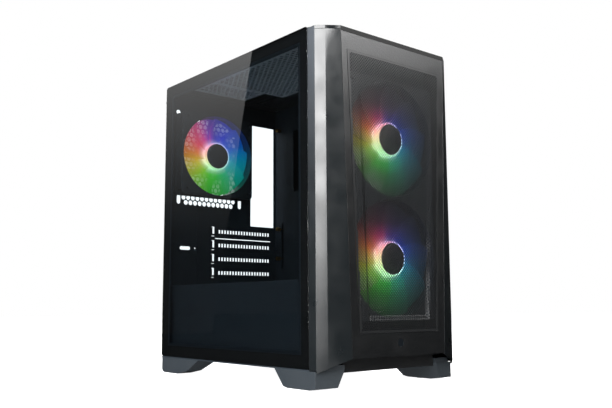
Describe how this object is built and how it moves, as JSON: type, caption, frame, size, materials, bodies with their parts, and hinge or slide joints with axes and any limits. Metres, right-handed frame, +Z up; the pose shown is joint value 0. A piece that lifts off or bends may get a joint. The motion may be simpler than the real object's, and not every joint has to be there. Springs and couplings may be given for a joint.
{
  "type": "desktop computer tower",
  "caption": "Compact tower case with a tinted glass side, perforated tapering front, lit fans, steel chassis and four feet.",
  "frame": {"origin": "under the middle of the case, on the surface it stands on", "axes": "+X to the right seen from the front, +Y to the rear, +Z up"},
  "size_m": [0.22, 0.36, 0.402],
  "materials": {
    "painted_steel": "fine powder coat",
    "moulded_black": "fine moulded texture",
    "front_mesh": "perforated sheet, satin paint",
    "rubber": "matte",
    "zinc_screws": "zinc plate",
    "black_screws": "black zinc",
    "brass": "turned",
    "tinted_glass": "polished, grey tint, black printed border",
    "fan_frame": "moulded",
    "lit_blades": "frosted, lit",
    "badge": "brushed",
    "circuit_board": "solder mask",
    "socket_shell": "plated"
  },
  "bodies": {
    "root": {"base_pan": "painted_steel", "front_wall": "painted_steel", "rear_panel": "painted_steel", "slot_ledge": "painted_steel", "top_panel": "painted_steel", "motherboard_tray": "painted_steel", "psu_shroud": "painted_steel", "drive_cage": "painted_steel", "ssd_bracket": "painted_steel", "slot_cover_1": "painted_steel", "slot_cover_2": "painted_steel", "slot_cover_3": "painted_steel", "slot_cover_4": "painted_steel", "foot_front_left": "moulded_black", "foot_front_right": "moulded_black", "foot_rear_left": "moulded_black", "foot_rear_right": "moulded_black", "io_bezel": "moulded_black", "drive_tray_lower": "moulded_black", "drive_tray_upper": "moulded_black", "tact_switches": "moulded_black", "audio_socket": "moulded_black", "foot_pads": "rubber", "foot_screws": "zinc_screws", "slot_cover_screws": "zinc_screws", "fan_screws": "zinc_screws", "board_standoffs": "brass", "rear_fan_frame": "fan_frame", "front_fan_frame_upper": "fan_frame", "front_fan_frame_lower": "fan_frame", "io_board": "circuit_board", "usb_sockets": "socket_shell"},
    "rear_fan_rotor": {"rear_fan_rotor": "lit_blades"},
    "front_fan_rotor_upper": {"front_fan_rotor_upper": "lit_blades"},
    "front_fan_rotor_lower": {"front_fan_rotor_lower": "lit_blades"},
    "glass_panel": {"glass_pane": "tinted_glass", "glass_frame": "painted_steel"},
    "right_panel": {"right_side_panel": "painted_steel"},
    "front_panel": {"front_pillar_left": "moulded_black", "front_pillar_right": "moulded_black", "front_bezel": "moulded_black", "front_cap": "moulded_black", "front_skirt": "moulded_black", "front_clips": "moulded_black", "front_mesh": "front_mesh", "front_badge": "badge"},
    "power_button": {"power_button": "moulded_black"},
    "reset_button": {"reset_button": "moulded_black"},
    "top_filter": {"top_dust_filter": "moulded_black"},
    "psu_filter": {"psu_dust_filter": "moulded_black"},
    "thumbscrew_left_upper": {"thumbscrew_left_upper": "black_screws"},
    "thumbscrew_left_lower": {"thumbscrew_left_lower": "black_screws"},
    "thumbscrew_right_upper": {"thumbscrew_right_upper": "black_screws"},
    "thumbscrew_right_lower": {"thumbscrew_right_lower": "black_screws"}
  },
  "joints": [
    {"name": "rear_fan_spin", "type": "hinge", "parent": "root", "child": "rear_fan_rotor", "pos_m": [-0.0338, 0.155, 0.308], "axis": [0, 1, 0], "continuous": true},
    {"name": "front_fan_upper_spin", "type": "hinge", "parent": "root", "child": "front_fan_rotor_upper", "pos_m": [0, -0.16, 0.2832], "axis": [0, 1, 0], "continuous": true},
    {"name": "front_fan_lower_spin", "type": "hinge", "parent": "root", "child": "front_fan_rotor_lower", "pos_m": [0, -0.16, 0.143], "axis": [0, 1, 0], "continuous": true},
    {"name": "glass_panel_slide", "type": "slide", "parent": "root", "child": "glass_panel", "axis": [0, 1, 0], "range_m": [0, 0.33]},
    {"name": "right_panel_slide", "type": "slide", "parent": "root", "child": "right_panel", "axis": [0, 1, 0], "range_m": [0, 0.33]},
    {"name": "front_panel_pull", "type": "slide", "parent": "root", "child": "front_panel", "axis": [0, -1, 0], "range_m": [0, 0.06]},
    {"name": "power_button_press", "type": "slide", "parent": "root", "child": "power_button", "axis": [0, 0, -1], "range_m": [0, 0.0012], "stiffness_N_per_m": 400},
    {"name": "reset_button_press", "type": "slide", "parent": "root", "child": "reset_button", "axis": [0, 0, -1], "range_m": [0, 0.0008], "stiffness_N_per_m": 400},
    {"name": "top_filter_lift", "type": "slide", "parent": "root", "child": "top_filter", "axis": [0, 0, 1], "range_m": [0, 0.05]},
    {"name": "psu_filter_slide", "type": "slide", "parent": "root", "child": "psu_filter", "axis": [0, 1, 0], "range_m": [0, 0.15]},
    {"name": "thumbscrew_left_upper_turn", "type": "hinge", "parent": "glass_panel", "child": "thumbscrew_left_upper", "pos_m": [-0.0985, 0.174, 0.384], "axis": [0, 1, 0], "continuous": true},
    {"name": "thumbscrew_left_lower_turn", "type": "hinge", "parent": "glass_panel", "child": "thumbscrew_left_lower", "pos_m": [-0.0985, 0.174, 0.05], "axis": [0, 1, 0], "continuous": true},
    {"name": "thumbscrew_right_upper_turn", "type": "hinge", "parent": "right_panel", "child": "thumbscrew_right_upper", "pos_m": [0.0985, 0.174, 0.384], "axis": [0, 1, 0], "continuous": true},
    {"name": "thumbscrew_right_lower_turn", "type": "hinge", "parent": "right_panel", "child": "thumbscrew_right_lower", "pos_m": [0.0985, 0.174, 0.05], "axis": [0, 1, 0], "continuous": true}
  ]
}
